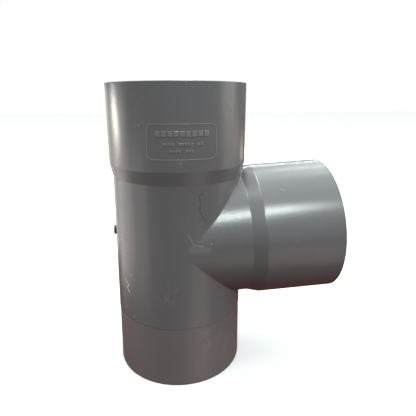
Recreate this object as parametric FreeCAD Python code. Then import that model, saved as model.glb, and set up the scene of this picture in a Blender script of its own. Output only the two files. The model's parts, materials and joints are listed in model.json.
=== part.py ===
import FreeCAD, Part
import os

# An 87.5 degree drainage tee, moulded in grey PVC for nominal 110 mm pipe.
# The run stands on its spigot along +Z, with the origin at the centre of the
# spigot's end face, and the branch socket points along +X and rises slightly.
# The moulding is one wall all through. It is divided here where its shape
# changes, and the zones meet face to face. All sizes are in millimetres.

# Pipe size
PIPE_R = 55.0  # outside of a 110 mm pipe, and of the spigot
WALL = 3.2
WATERWAY_R = PIPE_R - WALL
SOCKET_BORE_R = PIPE_R + 0.15  # the loose fit that solvent cement fills

# Heights up the run, and the branch's rise above level in degrees
SPIGOT_TOP_Z = 52.0
STEP_RISE = 1.5  # the fine step above the spigot, which marks full insertion
CROSSING_Z = 115.5  # where the run's axis and the branch's axis meet
BRANCH_RISE = 2.5

# Both arms are alike from the crossing outwards: barrel, cone, then socket
TAPER = 55.75
SHOULDER = TAPER + 11.0  # the socket starts, and the pipe stops here inside
MOUTH = SHOULDER + 65.5
BARREL_R = PIPE_R + 0.3
SHOULDER_R = 58.1
MOUTH_R = 58.7  # the socket widens a little, so that it leaves the mould

# Edges
FOOT_EASE_R = 0.4  # the spigot's outer edge is eased, to lead into a socket
FOOT_EASE_Z = 1.2
LEAD_IN = 1.0  # chamfer inside each mouth
MOUTH_EASE = 0.3  # chamfer outside each mouth

# Injection gate stub, on the side of the barrel away from the branch
GATE_Z = 121.5
GATE_R = 4.0
GATE_PROUD = 2.0
GATE_EASE = 0.4

# Raised marking on the front of the run socket
MARK_Z = 204.5
MARK_HALF_WIDTH = 26.0
MARK_HALF_HEIGHT = 13.3
MARK_CORNER_R = 5.0
MARK_BEAD = 1.1
MARK_PROUD = 0.35
# Each plain bar: centre across, centre above MARK_Z, length, height
MARK_BARS = [
    (0.0, 6.0, 40.0, 4.4),
    (-10.5, -1.6, 9.0, 2.4),
    (2.5, -1.6, 11.0, 2.4),
    (13.0, -1.6, 4.0, 2.4),
    (-5.5, -6.8, 8.0, 2.2),
    (5.0, -6.8, 7.0, 2.2),
]


def ring(outline):
    """A closed ring: the (radius, height) outline turned round the Z axis."""
    points = [FreeCAD.Vector(r, 0, z) for r, z in outline]
    face = Part.Face(Part.makePolygon(points + points[:1]))
    turned = face.revolve(FreeCAD.Vector(0, 0, 0), FreeCAD.Vector(0, 0, 1), 360)
    return turned if turned.Volume > 0 else turned.reversed()


def on_arm(shape, tilt):
    """The shape, built round +Z from the origin, moved to the crossing and tilted."""
    turn = FreeCAD.Rotation(FreeCAD.Vector(0, 1, 0), tilt)
    placed = shape.copy()
    placed.Placement = FreeCAD.Placement(FreeCAD.Vector(0, 0, CROSSING_Z), turn)
    return placed


def on_run(shape):
    return on_arm(shape, 0)


def on_branch(shape):
    return on_arm(shape, 90 - BRANCH_RISE)


def socket():
    """A socket from its shoulder to its mouth: drafted outside, true inside."""
    return ring([
        (SOCKET_BORE_R, SHOULDER),
        (SHOULDER_R, SHOULDER),
        (MOUTH_R, MOUTH - MOUTH_EASE),
        (MOUTH_R - MOUTH_EASE, MOUTH),
        (SOCKET_BORE_R + LEAD_IN, MOUTH),
        (SOCKET_BORE_R, MOUTH - LEAD_IN),
    ])


def taper():
    """The cone that widens a barrel to its socket. Its end face stops the pipe."""
    return ring([
        (WATERWAY_R, TAPER),
        (BARREL_R, TAPER),
        (SHOULDER_R, SHOULDER),
        (WATERWAY_R, SHOULDER),
    ])


def run_outline():
    """The run's outer form as a solid bar, for trimming what butts against it."""
    return on_run(ring([
        (0, -CROSSING_Z),
        (BARREL_R, -CROSSING_Z),
        (BARREL_R, TAPER),
        (SHOULDER_R, SHOULDER),
        (MOUTH_R, MOUTH),
        (0, MOUTH),
    ]))


def make_spigot():
    """The plain lower end, which enters the next socket."""
    return ring([
        (WATERWAY_R, 0),
        (PIPE_R - FOOT_EASE_R, 0),
        (PIPE_R, FOOT_EASE_Z),
        (PIPE_R, SPIGOT_TOP_Z),
        (WATERWAY_R, SPIGOT_TOP_Z),
    ])


def make_run_barrel():
    """The body of the run, with the branch's waterway cut through its side."""
    barrel = ring([
        (WATERWAY_R, SPIGOT_TOP_Z),
        (PIPE_R, SPIGOT_TOP_Z),
        (BARREL_R, SPIGOT_TOP_Z + STEP_RISE),
        (BARREL_R, CROSSING_Z + TAPER),
        (WATERWAY_R, CROSSING_Z + TAPER),
    ])
    return barrel.cut(on_branch(Part.makeCylinder(WATERWAY_R, MOUTH)))


def make_branch_neck():
    """The saddle that grows out of the barrel. It stops where the cone starts."""
    neck = ring([
        (WATERWAY_R, 0),
        (BARREL_R, 0),
        (BARREL_R, TAPER),
        (WATERWAY_R, TAPER),
    ])
    return on_branch(neck).cut(run_outline())


def make_branch_taper():
    """The branch's cone. Its highest part runs into the run's cone."""
    return on_branch(taper()).cut(run_outline())


def make_gate_stub():
    """The disc left where the plastic was let into the mould."""
    reach = BARREL_R + GATE_PROUD
    stub = Part.makeCylinder(GATE_R, reach - GATE_EASE)
    cap = Part.makeCone(GATE_R, GATE_R - GATE_EASE, GATE_EASE, FreeCAD.Vector(0, 0, reach - GATE_EASE))
    stub = stub.fuse(cap)
    turn = FreeCAD.Rotation(FreeCAD.Vector(0, 1, 0), -90)
    stub.Placement = FreeCAD.Placement(FreeCAD.Vector(0, 0, GATE_Z), turn)
    return stub.cut(run_outline())


def raised_skin():
    """A thin shell over the run socket, from which the marking is cut."""
    margin = 2.0
    low = MARK_Z - MARK_HALF_HEIGHT - margin
    high = MARK_Z + MARK_HALF_HEIGHT + margin
    draft = (MOUTH_R - SHOULDER_R) / (MOUTH - MOUTH_EASE - SHOULDER)
    low_r = SHOULDER_R + draft * (low - CROSSING_Z - SHOULDER)
    high_r = SHOULDER_R + draft * (high - CROSSING_Z - SHOULDER)
    return ring([
        (low_r, low),
        (low_r + MARK_PROUD, low),
        (high_r + MARK_PROUD, high),
        (high_r, high),
    ])


def slab(x, z, half_width, half_height, corner_r):
    """A rounded block that reaches from the run's axis out past its front."""
    depth = MOUTH_R + 5
    box = Part.makeBox(
        2 * half_width, depth, 2 * half_height,
        FreeCAD.Vector(x - half_width, -depth, z - half_height))
    corners = [edge for edge in box.Edges if abs(edge.tangentAt(edge.FirstParameter).y) > 0.99]
    return box.makeFillet(corner_r, corners)


def make_marking_frame():
    """The raised bead round the marking: a rectangle with rounded corners."""
    outer = slab(0, MARK_Z, MARK_HALF_WIDTH, MARK_HALF_HEIGHT, MARK_CORNER_R)
    inner = slab(
        0, MARK_Z, MARK_HALF_WIDTH - MARK_BEAD, MARK_HALF_HEIGHT - MARK_BEAD,
        MARK_CORNER_R - MARK_BEAD)
    return raised_skin().common(outer.cut(inner))


def make_marking_bars():
    """Plain raised bars inside the frame."""
    skin = raised_skin()
    bars = [
        skin.common(slab(x, MARK_Z + up, length / 2, height / 2, height / 4))
        for x, up, length, height in MARK_BARS
    ]
    return Part.makeCompound(bars)


os.makedirs("parts", exist_ok=True)

parts = {
    "spigot": make_spigot(),
    "run_barrel": make_run_barrel(),
    "run_taper": on_run(taper()),
    "run_socket": on_run(socket()),
    "branch_neck": make_branch_neck(),
    "branch_taper": make_branch_taper(),
    "branch_socket": on_branch(socket()),
    "gate_stub": make_gate_stub(),
    "marking_frame": make_marking_frame(),
    "marking_bars": make_marking_bars(),
}

for name, shape in parts.items():
    shape.exportStep("parts/" + name + ".step")
    box = shape.BoundBox
    print(name, "valid" if shape.isValid() else "INVALID", len(shape.Solids), "solids",
          round(shape.Volume / 1000, 2), "cm3",
          [round(v, 2) for v in (box.XMin, box.YMin, box.ZMin, box.XMax, box.YMax, box.ZMax)])
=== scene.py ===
import json
import math

import bmesh
import bpy
from mathutils import Matrix, Vector


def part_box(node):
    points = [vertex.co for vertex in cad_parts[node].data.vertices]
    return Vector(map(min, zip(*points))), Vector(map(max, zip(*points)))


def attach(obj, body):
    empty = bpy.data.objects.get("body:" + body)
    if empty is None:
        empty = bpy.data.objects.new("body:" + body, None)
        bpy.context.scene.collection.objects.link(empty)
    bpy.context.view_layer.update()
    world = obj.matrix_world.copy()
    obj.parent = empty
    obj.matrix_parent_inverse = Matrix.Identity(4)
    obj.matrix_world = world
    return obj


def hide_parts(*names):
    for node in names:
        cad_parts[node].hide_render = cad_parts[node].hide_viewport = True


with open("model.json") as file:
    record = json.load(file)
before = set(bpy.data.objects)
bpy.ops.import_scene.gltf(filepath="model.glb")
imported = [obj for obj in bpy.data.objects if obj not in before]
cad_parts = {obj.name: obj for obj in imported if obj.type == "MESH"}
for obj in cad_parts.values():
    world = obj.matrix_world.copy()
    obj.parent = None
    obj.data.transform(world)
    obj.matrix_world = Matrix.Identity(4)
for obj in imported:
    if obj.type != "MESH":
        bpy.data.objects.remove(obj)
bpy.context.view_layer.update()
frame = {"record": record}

# --- Body -----------------------------------------------------------------
# The middle of the moulding: the barrel, the saddle that grows out of it and
# the two cones. It is one wall of grey PVC, injected round steel cores, so it
# has a small fillet in the crease where the two barrels meet.

MM = 0.001
WALL = 3.2 * MM
mounts = {m["name"]: m for m in frame["record"]["mounts"]}
branch_axis = Vector(mounts["branch_socket"]["axis"])
branch_middle = Vector(mounts["branch_socket"]["pos_m"])
crossing = branch_middle - branch_axis * (branch_middle.x / branch_axis.x)
bore_r = mounts["run_socket"]["dims"]["r_mm"] * MM

spigot_r, spigot_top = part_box("spigot")[1].x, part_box("spigot")[1].z
barrel_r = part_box("run_barrel")[1].y
shoulder_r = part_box("run_taper")[1].x
mouth_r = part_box("run_socket")[1].x
waterway_r = spigot_r - WALL
# Distances out from the crossing of the axes, alike on the run and the branch
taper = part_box("run_taper")[0].z - crossing.z
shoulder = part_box("run_taper")[1].z - crossing.z
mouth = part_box("run_socket")[1].z - crossing.z
barrel_foot = spigot_top - crossing.z

COLUMNS = 192
PAST_SHOULDER = 1.5 * MM  # the body runs on this far into each socket
CORNER = 0.5 * MM  # rounding at the two edges of a cone
STOP_ROUNDING = 0.4 * MM  # the ledge inside that stops the pipe
draft = (mouth_r - shoulder_r) / (mouth - shoulder)
cone_rise = (shoulder_r - barrel_r) / (shoulder - taper)
past_r = shoulder_r + draft * PAST_SHOULDER
SNAP = 1e-7  # a point this near to a cut is taken to be on it
SAME = 1e-6  # places nearer than this are one

run_place = Matrix.Translation(crossing)
branch_rise = math.atan2(branch_axis.z, branch_axis.x)
branch_place = run_place @ Matrix.Rotation(math.pi / 2 - branch_rise, 4, "Y")


def turned(outline, closed, place):
    """A skin turned from an outline of (radius, height, corner rounding) points."""
    bm = bmesh.new()
    points = [bm.verts.new((r, 0, h)) for r, h, rounding in outline]
    for a, b in zip(points, points[1:]):
        bm.edges.new((a, b))
    if closed:
        bm.edges.new((points[-1], points[0]))
    for point, (r, h, rounding) in zip(points, outline):
        if rounding:
            bmesh.ops.bevel(
                bm, geom=[point], offset=rounding, segments=4, profile=0.5,
                affect="VERTICES", material=-1)
    bmesh.ops.spin(
        bm, geom=bm.verts[:] + bm.edges[:], cent=(0, 0, 0), axis=(0, 0, 1),
        angle=2 * math.pi, steps=COLUMNS, use_merge=True)
    bmesh.ops.transform(bm, matrix=place, verts=bm.verts)
    return bm


def arm_outline(start):
    """Half a section through an arm: out along the outside, back along the inside."""
    return [
        *start,
        (barrel_r, taper, CORNER),
        (shoulder_r, shoulder, CORNER),
        (past_r, shoulder + PAST_SHOULDER, 0),
        (bore_r, shoulder + PAST_SHOULDER, 0),
        (bore_r, shoulder, STOP_ROUNDING),
        (waterway_r, shoulder, STOP_ROUNDING),
    ]


def cut(bm, faces, normal, clear=False):
    """Cuts the faces by a plane through the crossing and the Y axis."""
    edges = {e for f in faces for e in f.edges}
    verts = {v for f in faces for v in f.verts}
    bmesh.ops.bisect_plane(
        bm, geom=list(verts) + list(edges) + list(faces), dist=SNAP,
        plane_co=crossing, plane_no=normal, clear_outer=clear)


def piece(name, bm, material, replaced, sharp_deg=35):
    """Turns a finished bmesh into a piece that rides on the fitting."""
    bmesh.ops.recalc_face_normals(bm, faces=bm.faces)
    for f in bm.faces:
        f.smooth = True
    for e in bm.edges:
        if len(e.link_faces) == 2 and e.calc_face_angle() > math.radians(sharp_deg):
            e.smooth = False
    mesh = bpy.data.meshes.new(name)
    bm.to_mesh(mesh)
    bm.free()
    obj = bpy.data.objects.new(name, mesh)
    bpy.context.scene.collection.objects.link(obj)
    mesh.materials.append(material)
    weighted = obj.modifiers.new("even_normals", "WEIGHTED_NORMAL")
    weighted.keep_sharp = True
    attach(obj, "root")
    if replaced:
        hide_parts(*replaced)


class Value:
    """A node's output, which takes part in arithmetic."""

    def __init__(self, nodes, socket):
        self.nodes, self.socket = nodes, socket

    def math(self, operation, *others):
        inputs = {i: v for i, v in enumerate((self, *others))}
        return self.nodes.add("Math", {"operation": operation}, inputs)

    def __add__(self, other):
        return self.math("ADD", other)

    def __sub__(self, other):
        return self.math("SUBTRACT", other)

    def __mul__(self, other):
        return self.math("MULTIPLY", other)

    def __truediv__(self, other):
        return self.math("DIVIDE", other)

    def __rsub__(self, other):
        return self.nodes.add("Math", {"operation": "SUBTRACT"}, {0: other, 1: self})

    __radd__ = __add__
    __rmul__ = __mul__


class Nodes:
    """The nodes of one material or world."""

    def __init__(self, owner):
        owner.use_nodes = True
        self.tree = owner.node_tree
        self.tree.nodes.clear()

    def add(self, kind, settings=None, sockets=None, output=0):
        """A node of that type. Its settings are set first, then its sockets."""
        node = self.tree.nodes.new("ShaderNode" + kind)
        for name, value in (settings or {}).items():
            setattr(node, name, value)
        for name, value in (sockets or {}).items():
            if isinstance(value, Value):
                self.tree.links.new(value.socket, node.inputs[name])
            else:
                node.inputs[name].default_value = value
        return Value(self, node.outputs[output] if node.outputs else None)


def mixed(nodes, share, a, b):
    """Colour a, turning into colour b as the share goes from 0 to 1."""
    # Sockets 6 and 7 of a Mix node are its two colours, and output 2 is the mixed one
    colours = {i: v if isinstance(v, Value) else (*v, 1) for i, v in ((6, a), (7, b))}
    return nodes.add("Mix", {"data_type": "RGBA"}, {0: share, **colours}, output=2)


def shaded(colour, share):
    """The colour made that much lighter, or darker under 1."""
    return tuple(c * share for c in colour)


def skin_r(out):
    """The radius of an arm's outside, so far out from the crossing."""
    if out < taper:
        return barrel_r
    if out < shoulder:
        return barrel_r + cone_rise * (out - taper)
    return shoulder_r + draft * (out - shoulder)


def on_run(turn, height):
    """A point on the run's skin: degrees round from the front, and mm above the foot."""
    a, z = math.radians(turn), height * MM
    r = skin_r(z - crossing.z)
    return Vector((r * math.sin(a), -r * math.cos(a), z))


def on_branch(out, rise):
    """A point on the branch's skin: mm out along it, and degrees up from its front."""
    a, r = math.radians(rise), skin_r(out * MM)
    return branch_place @ Vector((-r * math.sin(a), -r * math.cos(a), out * MM))


def stroke(nodes, place, points, half_width):
    """A mask that follows points on the skin, and fades over its half width, in mm."""
    nearest = None
    for start, end in zip(points, points[1:]):
        along = end - start
        away = nodes.add("VectorMath", {"operation": "SUBTRACT"}, {0: place, 1: start})
        share = nodes.add(
            "VectorMath", {"operation": "DOT_PRODUCT"}, {0: away, 1: along / along.length_squared},
            output="Value")
        share = nodes.add("Clamp", {}, {0: share})
        nearby = nodes.add("VectorMath", {"operation": "SCALE"}, {0: along, "Scale": share})
        gap = nodes.add("VectorMath", {"operation": "DISTANCE"}, {0: away, 1: nearby}, output="Value")
        nearest = gap if nearest is None else nearest.math("MINIMUM", gap)
    return (1 - nearest / (half_width * MM)).math("MAXIMUM", 0)


# Scales of the noises in the skin, per metre: the larger, the finer
GRAIN, RIPPLE, CLOUD = 850, 90, 16
SCRATCH, SCRATCH_PATCH, DUST = 150, 24, 70
# Scratches run two ways. Their width is a span of the noise's level
SCRATCH_TURNS = ((0.5, 0.35, 0.2), (-0.4, 1.3, 0.9))
SCRATCH_STRETCH, SCRATCH_WIDTH, SCRATCH_STRENGTH = 22, 0.022, 0.05
PATCH_LEVEL, PATCH_STEEPNESS = 0.57, 9
SPECK_R, SPECK_STRENGTH = 0.022, 0.6  # the radius is against the spacing of the dust
CLOUD_TINT = 0.10
RUBBED = (0.42, 0.41, 0.39)  # the grey of rubbed PVC, and of dust
WELD_SHADE = 0.3  # a dark mark's grey, against the PVC's
GRAIN_HEIGHT, RIPPLE_HEIGHT = 2.2, 0.35  # in bump depths
BUMP_DEPTH = 0.03 * MM
CLOUD_DULLING, GRAIN_DULLING, RUB_DULLING = 0.08, 0.06, 0.2
PVC_IOR = 1.53


def pvc(name, colour, roughness, scratching=1.0, pale=(), dark=()):
    """Moulded PVC. The pale and dark marks are (strength, half width, points) strokes."""
    material = bpy.data.materials.new(name)
    nodes = Nodes(material)
    place = nodes.add("TexCoord", output="Object")

    def noise(scale, detail, vector=place):
        return nodes.add("TexNoise", {}, {"Vector": vector, "Scale": scale, "Detail": detail})

    # The mould's spark-eroded grain, the ripple of a thick wall, and slow clouds in the grey
    grain, ripple, cloud = noise(GRAIN, 1), noise(RIPPLE, 1), noise(CLOUD, 4)
    # Handling scratches are thin level lines of a long noise, kept to a few patches
    scratch = 0
    for turn in SCRATCH_TURNS:
        drawn = nodes.add(
            "Mapping", {"vector_type": "TEXTURE"},
            {"Vector": place, "Rotation": turn, "Scale": (1, 1, SCRATCH_STRETCH)})
        line = 1 - (noise(SCRATCH, 0, drawn) - 0.5).math("ABSOLUTE") / SCRATCH_WIDTH
        scratch = scratch + line.math("MAXIMUM", 0)
    patch = (noise(SCRATCH_PATCH, 2) - PATCH_LEVEL) * PATCH_STEEPNESS
    patch = patch.math("MAXIMUM", 0).math("MINIMUM", 1)
    scratch = scratch * patch * scratching
    # Dust sits on the skin in pale specks
    dust = nodes.add("TexVoronoi", {}, {"Vector": place, "Scale": DUST}, output="Distance")
    speck = (1 - dust / SPECK_R).math("MAXIMUM", 0)

    lift = speck * SPECK_STRENGTH + scratch * SCRATCH_STRENGTH
    for strength, half_width, points in pale:
        lift = lift + stroke(nodes, place, points, half_width) * strength
    lift = lift.math("MINIMUM", 1)
    tint = mixed(nodes, cloud, shaded(colour, 1 - CLOUD_TINT), shaded(colour, 1 + CLOUD_TINT))
    tint = mixed(nodes, lift, tint, RUBBED)
    for strength, half_width, points in dark:
        shade = stroke(nodes, place, points, half_width) * strength
        tint = mixed(nodes, shade, tint, shaded(colour, WELD_SHADE))

    height = grain * GRAIN_HEIGHT + ripple * RIPPLE_HEIGHT
    bump = nodes.add("Bump", {}, {"Height": height, "Strength": 1.0, "Distance": BUMP_DEPTH})
    # The noises average a half, so half of what they add is taken off the roughness
    base = roughness - (CLOUD_DULLING + GRAIN_DULLING) / 2
    polish = cloud * CLOUD_DULLING + grain * GRAIN_DULLING + base + lift * RUB_DULLING
    surface = nodes.add("BsdfPrincipled", {}, {
        "Base Color": tint, "Roughness": polish, "Normal": bump, "IOR": PVC_IOR})
    nodes.add("OutputMaterial", {}, {"Surface": surface})
    return material


# The creases lie in the two planes that halve the angles between the axes
upper_slope = (math.pi / 2 + branch_rise) / 2
lower_slope = (math.pi / 2 - branch_rise) / 2
upper_out = Vector((-math.sin(upper_slope), 0, math.cos(upper_slope)))
lower_out = Vector((-math.sin(lower_slope), 0, -math.cos(lower_slope)))

# The fine step where the barrel starts, which marks full insertion of the spigot
STEP_RISE = 0.4 * MM
STEP_ROUNDING = 0.15 * MM
run_bm = turned(
    arm_outline([
        (waterway_r, barrel_foot, 0),
        (spigot_r, barrel_foot, 0),
        (barrel_r, barrel_foot + STEP_RISE, STEP_ROUNDING),
    ]), True, run_place)
for out in (upper_out, lower_out):
    cut(run_bm, [f for f in run_bm.faces if f.calc_center_median().x > 0], out)
in_wedge = [
    f for f in run_bm.faces
    if (f.calc_center_median() - crossing).dot(upper_out) < 0
    and (f.calc_center_median() - crossing).dot(lower_out) < 0]
bmesh.ops.delete(run_bm, geom=in_wedge, context="FACES")

BRANCH_START = -5 * MM  # inside the run, and cut off by the creases' planes
branch_bm = turned(
    arm_outline([(barrel_r, BRANCH_START, 0)]) + [(waterway_r, BRANCH_START, 0)], False, branch_place)
for out in (upper_out, lower_out):
    cut(branch_bm, branch_bm.faces[:], out, clear=True)
branch_mesh = bpy.data.meshes.new("branch_half")
branch_bm.to_mesh(branch_mesh)
branch_bm.free()
run_bm.from_mesh(branch_mesh)
bpy.data.meshes.remove(branch_mesh)
WELD = 0.02 * MM
bmesh.ops.remove_doubles(run_bm, verts=run_bm.verts, dist=WELD)
bmesh.ops.recalc_face_normals(run_bm, faces=run_bm.faces)

CREASE_FILLET = 0.9 * MM
LEAST_CREASE_DEG = 10


def on_crease(edge):
    """Is the edge in a crease, and turned enough to need its fillet?"""
    for out in (upper_out, lower_out):
        if all(abs((v.co - crossing).dot(out)) < SAME and v.co.x > 0 for v in edge.verts):
            return edge.calc_face_angle(0) > math.radians(LEAST_CREASE_DEG)
    return False


bmesh.ops.bevel(
    run_bm, geom=[e for e in run_bm.edges if on_crease(e)], offset=CREASE_FILLET,
    offset_type="OFFSET", segments=4, profile=0.5, affect="EDGES", material=-1)

PVC_GREY = (0.087, 0.087, 0.090)
GLOSS = 0.25
body_pvc = pvc(
    "body_pvc", PVC_GREY, GLOSS,
    pale=[
        # A zigzag rub, and a nick above it, low on the left
        (0.8, 0.9, [on_run(-59, 87), on_run(-53.5, 83.5), on_run(-56.5, 80.5), on_run(-53, 77)]),
        (0.2, 0.6, [on_run(-51, 93), on_run(-48, 94.5)]),
        # A weld line that comes down into the crotch, and the smear that fans out under it
        (0.10, 1.0, [on_run(3, 133.5), on_run(5.5, 130), on_run(8.5, 124), on_branch(15.5, 7)]),
        (0.09, 4.2, [on_run(7, 120.5), on_branch(10, 4), on_branch(19.5, 3.5)]),
        # A speck on the saddle, and another just above the step
        (0.35, 0.6, [on_branch(22.5, 8), on_branch(22.5, 8.5)]),
        (0.5, 0.7, [on_run(-48, 57), on_run(-47.5, 56)]),
    ],
    dark=[
        # A hairline weld line on the right
        (0.5, 0.7, [
            on_run(16.5, 165), on_run(13, 163.5), on_run(14, 157.5), on_run(13.5, 151.5),
            on_run(15, 147.5), on_run(19.5, 142)]),
    ])
piece(
    "tee_body", run_bm, body_pvc,
    ["run_barrel", "run_taper", "branch_neck", "branch_taper"])

# --- Sockets --------------------------------------------------------------
# Each arm ends in a socket that takes a pipe in solvent cement. It is the same
# PVC wall, drafted outside, with a rounded lip and a lead-in inside the mouth.

LIP_ROUNDING = 0.5 * MM
LIP_INSET = 0.05 * MM
LEAD_IN = 1.0 * MM
LEAD_IN_ROUNDING = 0.3 * MM


def socket_outline():
    """The section of a socket wall, from where the body ends to the mouth and back."""
    return [
        (past_r, shoulder + PAST_SHOULDER, 0),
        (mouth_r - LIP_INSET, mouth, LIP_ROUNDING),
        (bore_r + LEAD_IN, mouth, LEAD_IN_ROUNDING),
        (bore_r, mouth - LEAD_IN, LEAD_IN_ROUNDING),
        (bore_r, shoulder + PAST_SHOULDER, 0),
    ]


run_socket_pvc = pvc(
    "run_socket_pvc", PVC_GREY, GLOSS,
    pale=[
        # A speck on the left, and a short rub under the marking
        (0.3, 0.6, [on_run(-32.5, 216.5), on_run(-32, 216.5)]),
        (0.12, 0.7, [on_run(-1, 190.5), on_run(-2, 188)]),
    ])
# The branch is painted a touch paler than the run: painted light, for the brighter light that falls on
# it
BRANCH_PAINTED_LIGHT = 1.08
branch_pvc = pvc(
    "branch_pvc", shaded(PVC_GREY, BRANCH_PAINTED_LIGHT), GLOSS,
    pale=[
        # A light scratch on top
        (0.2, 0.5, [on_branch(83.5, 49), on_branch(86.5, 46.5)]),
    ])
piece(
    "run_socket_wall", turned(socket_outline(), True, run_place), run_socket_pvc,
    ["run_socket"])
piece(
    "branch_socket_wall", turned(socket_outline(), True, branch_place), branch_pvc,
    ["branch_socket"])

# --- Spigot ---------------------------------------------------------------
# The plain lower end, a touch slimmer than the barrel. Its edge is eased so
# that it enters the next socket, and it is scuffed from standing and handling.

# The spigot is the same PVC as the body; its warmer, browner grey is painted reflection of a brown
# floor
SPIGOT_GREY_AND_REFLECTION = (0.096, 0.087, 0.086)
SPIGOT_ROUGHNESS = 0.34
SPIGOT_SCRATCHING = 1.8
FOOT_EASE_R, FOOT_EASE_Z = 0.4 * MM, 1.2 * MM
# Rounding at the top of the eased edge, at its foot, and inside
EASE_ROUNDING, FOOT_ROUNDING, INNER_ROUNDING = 0.4 * MM, 0.2 * MM, 0.3 * MM
foot = -crossing.z
spigot_pvc = pvc("spigot_pvc", SPIGOT_GREY_AND_REFLECTION, SPIGOT_ROUGHNESS, SPIGOT_SCRATCHING)
piece(
    "spigot_wall",
    turned([
        (waterway_r, barrel_foot, 0),
        (spigot_r, barrel_foot, 0),
        (spigot_r, foot + FOOT_EASE_Z, EASE_ROUNDING),
        (spigot_r - FOOT_EASE_R, foot, FOOT_ROUNDING),
        (waterway_r, foot, INNER_ROUNDING),
    ], True, run_place), spigot_pvc, ["spigot"])

# --- Parting line ---------------------------------------------------------
# The mould opens on the plane through both axes, and leaves a fine raised line
# of flash there: up each side of the run, and along the branch's top and underside.

FLASH_PROUD = 0.04 * MM
FLASH_WIDTH = 0.45 * MM
FLASH_ROOT = 0.5 * MM  # how far it is sunk in the wall
FLASH_ROUNDING = 0.035 * MM
# It stops this far short of the creases, the mouths and the foot, and it climbs the
# step at the barrel's foot over this height
CREASE_GAP, MOUTH_GAP, FOOT_GAP = 1.2 * MM, 1.0 * MM, 1.6 * MM
STEP_CLIMB = 1.0 * MM
LIP_DROP = 0.2 * MM


def flash(bm, line, place, turn):
    """Adds a thin strip along a line of (radius, height) points on the skin."""
    outer = [(r + FLASH_PROUD, h) for r, h in line]
    inner = [(r - FLASH_ROOT, h) for r, h in reversed(line)]
    rim = [bm.verts.new((r, -FLASH_WIDTH / 2, h)) for r, h in outer + inner]
    side = bm.faces.new(rim)
    grown = bmesh.ops.extrude_face_region(bm, geom=[side])["geom"]
    far = [v for v in grown if isinstance(v, bmesh.types.BMVert)]
    bmesh.ops.translate(bm, verts=far, vec=(0, FLASH_WIDTH, 0))
    crest = rim[:len(line)] + far[:len(line)]
    edges = {e for v in crest for e in v.link_edges if e.other_vert(v) in crest}
    long_edges = [e for e in edges if abs(e.verts[0].co.y - e.verts[1].co.y) < SAME]
    bevelled = bmesh.ops.bevel(
        bm, geom=long_edges, offset=FLASH_ROUNDING, segments=2, profile=0.5, affect="EDGES",
        material=-1)
    strip = {v for v in rim + far if v.is_valid} | set(bevelled["verts"])
    bmesh.ops.transform(bm, matrix=place @ Matrix.Rotation(turn, 4, "Z"), verts=list(strip))


def crease_end(slope):
    """How far out along an arm's side the crease ends, for a mitre at that slope."""
    return barrel_r * math.tan(slope) + CREASE_GAP


socket_line = [(shoulder_r, shoulder), (mouth_r - LIP_DROP, mouth - MOUTH_GAP)]
foot_line = [
    (spigot_r, foot + FOOT_GAP),
    (spigot_r, barrel_foot),
    (barrel_r, barrel_foot + STEP_CLIMB),
]
upper_end = crease_end(upper_slope)
upper_start = (skin_r(upper_end), upper_end)
flash_bm = bmesh.new()
flash(flash_bm, [*foot_line, (barrel_r, taper), *socket_line], run_place, math.pi)
flash(flash_bm, [*foot_line, (barrel_r, -crease_end(lower_slope))], run_place, 0)
flash(flash_bm, [upper_start, *socket_line], run_place, 0)
flash(flash_bm, [upper_start, *socket_line], branch_place, math.pi)
flash(flash_bm, [(barrel_r, crease_end(lower_slope)), (barrel_r, taper), *socket_line], branch_place, 0)
piece("parting_line", flash_bm, body_pvc, [])

# --- Gate stub ------------------------------------------------------------
# The plastic entered the mould here, opposite the branch. The sprue was snipped
# off, which left a low disc, coloured near black, with a torn dimple in its middle.

gate_low, gate_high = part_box("gate_stub")
gate_r = (gate_high.z - gate_low.z) / 2
gate_place = (
    Matrix.Translation((gate_low.x, 0, (gate_low.z + gate_high.z) / 2))
    @ Matrix.Rotation(-math.pi / 2, 4, "Y"))
gate_length = gate_high.x - gate_low.x
GATE_SIDES = 64
GATE_ROUNDING = 0.7 * MM
# Steps across its face from the rim to the middle: how far in, and how far out or down
GATE_STEPS = [(1.4 * MM, -0.15 * MM), (0.5 * MM, -0.35 * MM), (0.6 * MM, 0.3 * MM)]
gate_bm = bmesh.new()
bmesh.ops.create_circle(gate_bm, cap_ends=True, segments=GATE_SIDES, radius=gate_r)
bmesh.ops.translate(gate_bm, verts=gate_bm.verts, vec=(0, 0, -gate_length))
top = bmesh.ops.extrude_face_region(gate_bm, geom=gate_bm.faces[:])["geom"]
top_verts = [v for v in top if isinstance(v, bmesh.types.BMVert)]
bmesh.ops.translate(gate_bm, verts=top_verts, vec=(0, 0, gate_length))
rim_edges = [e for e in gate_bm.edges if all(v in top_verts for v in e.verts)]
bmesh.ops.bevel(
    gate_bm, geom=rim_edges, offset=GATE_ROUNDING, segments=4, profile=0.5, affect="EDGES", material=-1)
for inward, outward in GATE_STEPS:
    caps = [f for f in gate_bm.faces if len(f.verts) == GATE_SIDES]
    cap = max(caps, key=lambda f: f.calc_center_median().z)
    bmesh.ops.inset_region(gate_bm, faces=[cap], thickness=inward, use_even_offset=True)
    bmesh.ops.translate(gate_bm, verts=cap.verts, vec=(0, 0, outward))
bmesh.ops.transform(gate_bm, matrix=gate_place, verts=gate_bm.verts)

# Two near-black greys for the gate disc, mixed in blotches
GATE_BLACK, GATE_LESS_BLACK = (0.010, 0.009, 0.009), (0.035, 0.032, 0.031)
RIDGE, BLOTCH = 2600, 500
RIDGE_STRETCH = 0.15
BLOTCH_HEIGHT = 2  # against the ridges'
CUT_DEPTH = 0.05 * MM
CUT_ROUGHNESS, RIDGE_DULLING = 0.4, 0.3


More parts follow.
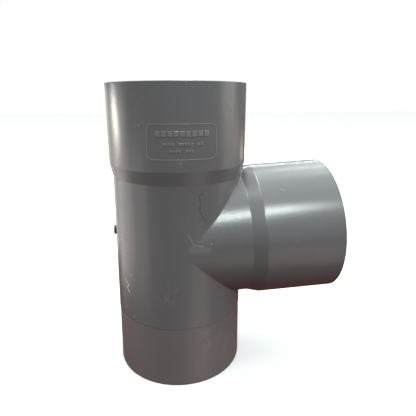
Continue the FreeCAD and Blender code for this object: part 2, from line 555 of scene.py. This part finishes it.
def near_black_pvc(name):
    """Snipped PVC: near black, dull, and drawn into fine ridges by the cutters."""
    material = bpy.data.materials.new(name)
    nodes = Nodes(material)
    place = nodes.add("TexCoord", output="Object")
    stretched = nodes.add("Mapping", {}, {"Vector": place, "Scale": (1, 1, RIDGE_STRETCH)})
    ridges = nodes.add("TexNoise", {}, {"Vector": stretched, "Scale": RIDGE, "Detail": 2})
    blotch = nodes.add("TexNoise", {}, {"Vector": place, "Scale": BLOTCH, "Detail": 3})
    tint = mixed(nodes, blotch, GATE_BLACK, GATE_LESS_BLACK)
    height = ridges + blotch * BLOTCH_HEIGHT
    bump = nodes.add("Bump", {}, {"Height": height, "Strength": 1.0, "Distance": CUT_DEPTH})
    polish = ridges * RIDGE_DULLING + CUT_ROUGHNESS
    surface = nodes.add("BsdfPrincipled", {}, {
        "Base Color": tint, "Roughness": polish, "Normal": bump, "IOR": PVC_IOR})
    nodes.add("OutputMaterial", {}, {"Surface": surface})
    return material


piece("gate_disc", gate_bm, near_black_pvc("gate_pvc"), ["gate_stub"])

# --- Marking --------------------------------------------------------------
# A rounded bead frames rows of plain raised blocks on the front of the run
# socket. Both were cut into the mould, so they are proud of the same skin.

mark_low, mark_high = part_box("marking_frame")
mark_z = (mark_low.z + mark_high.z) / 2
mark_half_width = (mark_high.x - mark_low.x) / 2
mark_half_height = (mark_high.z - mark_low.z) / 2
BLOCK_PROUD = 0.4 * MM
MARK_ROOT = 0.15 * MM  # how far the bead and the blocks are sunk in the wall


def wrap(bm):
    """Lays a flat drawing, in x and z with its height along -Y, over the socket's front."""
    for v in bm.verts:
        x, height, z = v.co.x, -v.co.y, v.co.z + mark_z
        r = skin_r(z - crossing.z) + height
        v.co = (x, -math.sqrt(r * r - x * x), z)


FRAME_BEAD = 0.8 * MM
BEAD_PROUD = 0.16 * MM
BEAD_ROUNDING = 0.15 * MM
FRAME_CORNER_R = 5.0 * MM
# The straight sides, which are longer than this, are divided so that they can curve
LONG_SIDE = 4 * MM
SIDE_CUTS = 24
frame_bm = bmesh.new()
bmesh.ops.create_grid(frame_bm, x_segments=1, y_segments=1, size=1)
bmesh.ops.scale(frame_bm, verts=frame_bm.verts, vec=(mark_half_width, mark_half_height, 1))
bmesh.ops.bevel(
    frame_bm, geom=frame_bm.verts[:], offset=FRAME_CORNER_R, segments=10, profile=0.5,
    affect="VERTICES", material=-1)
long_sides = [e for e in frame_bm.edges if e.calc_length() > LONG_SIDE]
bmesh.ops.subdivide_edges(frame_bm, edges=long_sides, cuts=SIDE_CUTS)
bmesh.ops.inset_region(
    frame_bm, faces=frame_bm.faces[:], thickness=FRAME_BEAD, use_boundary=True, use_even_offset=True)
middle = max(frame_bm.faces, key=lambda f: len(f.verts))
bmesh.ops.delete(frame_bm, geom=[middle], context="FACES_ONLY")
ring_top = bmesh.ops.extrude_face_region(frame_bm, geom=frame_bm.faces[:])["geom"]
ring_verts = [v for v in ring_top if isinstance(v, bmesh.types.BMVert)]
bmesh.ops.translate(frame_bm, verts=ring_verts, vec=(0, 0, BEAD_PROUD + MARK_ROOT))
crest = set(ring_verts)
crest_edges = [
    e for e in frame_bm.edges
    if set(e.verts) <= crest and any(not set(f.verts) <= crest for f in e.link_faces)]
bmesh.ops.bevel(
    frame_bm, geom=crest_edges, offset=BEAD_ROUNDING, segments=3, profile=0.5, affect="EDGES",
    material=-1)
bmesh.ops.translate(frame_bm, verts=frame_bm.verts, vec=(0, 0, -MARK_ROOT))
bmesh.ops.rotate(
    frame_bm, verts=frame_bm.verts, cent=(0, 0, 0), matrix=Matrix.Rotation(math.pi / 2, 3, "X"))
wrap(frame_bm)
# The raised marking is painted a little paler than the skin round it: painted light, for the light its
# raised edges catch
MARKING_PAINTED_LIGHT = 1.35
MARKING_ROUGHNESS = 0.24
MARKING_SCRATCHING = 0.5
marking_pvc = pvc(
    "marking_pvc", shaded(PVC_GREY, MARKING_PAINTED_LIGHT), MARKING_ROUGHNESS, MARKING_SCRATCHING)
piece("marking_bead", frame_bm, marking_pvc, ["marking_frame"])

# Each row, in mm: height above the middle, blocks' width and height, the gap
# between them, then the middle of each group across and how many blocks it has
BLOCK_ROWS = [
    (6.0, 3.6, 4.3, 0.85, [(0.0, 9)]),
    (-1.6, 1.6, 2.3, 0.6, [(-10.5, 4), (2.5, 5), (13.0, 2)]),
    (-6.8, 1.5, 2.1, 0.6, [(-5.5, 4), (5.0, 3)]),
]
BLOCK_EDGE = 0.26 * MM
blocks_bm = bmesh.new()
for up, width, height, gap, groups in BLOCK_ROWS:
    for across, count in groups:
        for i in range(count):
            x = across + (i - (count - 1) / 2) * (width + gap)
            block = bmesh.ops.create_cube(blocks_bm, size=1)["verts"]
            size = Vector((width, 0, height)) * MM + Vector((0, BLOCK_PROUD + MARK_ROOT, 0))
            bmesh.ops.scale(blocks_bm, verts=block, vec=size)
            bmesh.ops.translate(
                blocks_bm, verts=block, vec=(x * MM, (MARK_ROOT - BLOCK_PROUD) / 2, up * MM))
bmesh.ops.bevel(
    blocks_bm, geom=blocks_bm.edges[:], offset=BLOCK_EDGE, segments=1, profile=0.5, affect="EDGES",
    material=-1)
wrap(blocks_bm)
piece("marking_blocks", blocks_bm, marking_pvc, ["marking_bars"])

# --- Stage ----------------------------------------------------------------
# A plain pale floor, soft studio light and the camera. The light is a pale
# ceiling, strip lights in front, behind, above and at the right, a small lamp at
# the left, and dim panels all round, most of them low down.

FLOOR_HALF = 6  # metres
FLOOR_PAINT = (0.72, 0.72, 0.72, 1)
floor_mesh = bpy.data.meshes.new("floor")
floor_bm = bmesh.new()
bmesh.ops.create_grid(floor_bm, x_segments=1, y_segments=1, size=FLOOR_HALF)
floor_bm.to_mesh(floor_mesh)
floor_bm.free()
floor = bpy.data.objects.new("floor", floor_mesh)
bpy.context.scene.collection.objects.link(floor)
# The floor takes the fitting's shadow. It bounces no light, doesn't show in the gloss,
# and lets the panels that stand lower than it shine through.
floor.visible_glossy = False
floor.visible_diffuse = False
floor.visible_shadow = False
floor_paint = bpy.data.materials.new("floor_paint")
floor_nodes = Nodes(floor_paint)
matt = floor_nodes.add("BsdfDiffuse", {}, {"Color": FLOOR_PAINT})
# From underneath it is clear, so that the fitting's foot can be seen
open_below = floor_nodes.add("BsdfTransparent")
underneath = floor_nodes.add("NewGeometry", output="Backfacing")
floor_nodes.add("OutputMaterial", {}, {
    "Surface": floor_nodes.add("MixShader", {}, {0: underneath, 1: matt, 2: open_below})})
floor_mesh.materials.append(floor_paint)


def softbox(name, azimuth, elevation, distance, width, height, radiance, colour, spin=0):
    """An area light that faces the crossing.

    Its azimuth is in degrees round from the front, towards the branch, and its
    elevation in degrees above the crossing. Its distance and sides are in metres.
    """
    light = bpy.data.lights.new(name, "AREA")
    light.shape = "RECTANGLE"
    light.size, light.size_y = width, height
    light.energy = radiance * width * height * math.pi
    light.color = colour
    a, e = math.radians(azimuth), math.radians(elevation)
    out = Vector((math.sin(a) * math.cos(e), -math.cos(a) * math.cos(e), math.sin(e)))
    lamp = bpy.data.objects.new(name, light)
    bpy.context.scene.collection.objects.link(lamp)
    facing = out.to_track_quat("Z", "Y").to_matrix().to_4x4()
    twist = Matrix.Rotation(math.radians(spin), 4, "Z")
    lamp.matrix_world = Matrix.Translation(crossing + out * distance) @ facing @ twist
    lamp.visible_camera = False


COOL, NEUTRAL, WARM = (0.87, 0.99, 1.0), (1.0, 0.97, 0.93), (1.0, 0.86, 0.74)
PEACH, CREAM, GREENISH = (1.0, 0.75, 0.65), (1.0, 0.92, 0.84), (0.94, 1.0, 0.94)
# The strips draw the highlights along the branch, its top and the edges of its cone
softbox("front_strip", 12.5, 39.8, 1.8, 0.78, 0.25, 38, COOL, spin=18)
softbox("back_strip_low", 158, 22.5, 1.8, 1.0, 0.04, 34, COOL)
softbox("back_strip_high", 148, 43, 1.8, 0.36, 0.03, 48, COOL)
softbox("back_strip_top", 132, 57, 1.8, 0.2, 0.03, 36, COOL)
softbox("top_strip", 166, 79, 1.8, 0.05, 1.9, 70, COOL)
softbox("side_strip", 72, 29, 1.8, 0.95, 0.22, 10, NEUTRAL)
# The lamp draws the leaning streak on the left of the run's socket
softbox("left_lamp", -117, 0.5, 1.6, 0.36, 0.12, 28, CREAM, spin=-25)
# The panels round off the run, and tint the underside of both arms
softbox("left_wall", -112, -11, 1.6, 1.25, 0.9, 2.2, NEUTRAL)
softbox("left_floor", -75, -16, 1.6, 0.9, 0.7, 1.1, NEUTRAL)
softbox("left_fill", -62, -17, 1.6, 1.3, 0.8, 0.25, NEUTRAL)
softbox("left_back", -152, -8, 1.6, 0.8, 0.8, 1.2, NEUTRAL)
softbox("front_floor", 32, -36, 1.6, 0.9, 0.8, 0.7, PEACH)
softbox("right_window", 131, -14, 1.6, 0.25, 0.6, 3.2, WARM)
softbox("right_wall", 86, 16, 1.6, 0.9, 0.9, 2.0, GREENISH)
softbox("right_floor", 95, -10, 1.6, 1.2, 0.6, 1.1, WARM)
softbox("back_wall", 180, 60, 1.6, 3.0, 1.0, 1.1, COOL)

world = bpy.data.worlds.new("studio")
bpy.context.scene.world = world
air = Nodes(world)
way = air.add("TexCoord", output="Generated")
rise = air.add("SeparateXYZ", {}, {0: way}, output=2)
room = (0.0, 0.0, 0.0)
# Each band: the sines of the elevations where it starts and is reached, and its light
for low, high, colour in [
    (-1.2, -1.0, (0.15, 0.05, 0.04)),
    (-0.35, -0.1, (0.14, 0.08, 0.07)),
    (-0.15, 0.15, (0.40, 0.45, 0.47)),
    (0.25, 0.55, (0.95, 0.85, 0.8)),
    (0.6, 0.85, (1.66, 1.78, 1.8)),
    (0.85, 0.97, (2.4, 2.55, 2.5)),
]:
    reached = air.add("MapRange", {}, {0: rise, 1: low, 2: high})
    room = mixed(air, reached, room, colour)
# The camera itself sees plain white behind the fitting
seen = air.add("LightPath", output="Is Camera Ray")
shown = mixed(air, seen, room, (1, 1, 1))
air.add("OutputWorld", {}, {"Surface": air.add("Background", {}, {"Color": shown})})
bpy.context.scene.view_settings.view_transform = "Standard"

# The camera stands in front, a touch to the left and just below the top mouth, and
# looks down. Its azimuth, pan, tilt and roll are in radians.
CAMERA_AZIMUTH, CAMERA_DISTANCE, CAMERA_HEIGHT = -0.065, 0.3383, 0.2355
CAMERA_PAN, CAMERA_TILT, CAMERA_ROLL = -0.065, 0.219, -0.003
SENSOR_MM, LENS_MM, NEAREST = 36, 33.696, 0.01
camera_data = bpy.data.cameras.new("camera")
camera_data.sensor_width = SENSOR_MM
camera_data.lens = LENS_MM
camera_data.shift_x, camera_data.shift_y = 0.01288, -0.05558
camera_data.clip_start = NEAREST
camera = bpy.data.objects.new("camera", camera_data)
bpy.context.scene.collection.objects.link(camera)
heading = CAMERA_AZIMUTH + CAMERA_PAN
forward = Vector((
    -math.sin(heading) * math.cos(CAMERA_TILT),
    math.cos(heading) * math.cos(CAMERA_TILT),
    -math.sin(CAMERA_TILT)))
right = Vector((math.cos(heading), math.sin(heading), 0))
aim = Matrix((right, right.cross(forward), -forward)).transposed().to_4x4()
stand = Vector((
    CAMERA_DISTANCE * math.sin(CAMERA_AZIMUTH),
    -CAMERA_DISTANCE * math.cos(CAMERA_AZIMUTH),
    CAMERA_HEIGHT))
camera.matrix_world = Matrix.Translation(stand) @ aim @ Matrix.Rotation(CAMERA_ROLL, 4, "Z")
bpy.context.scene.camera = camera
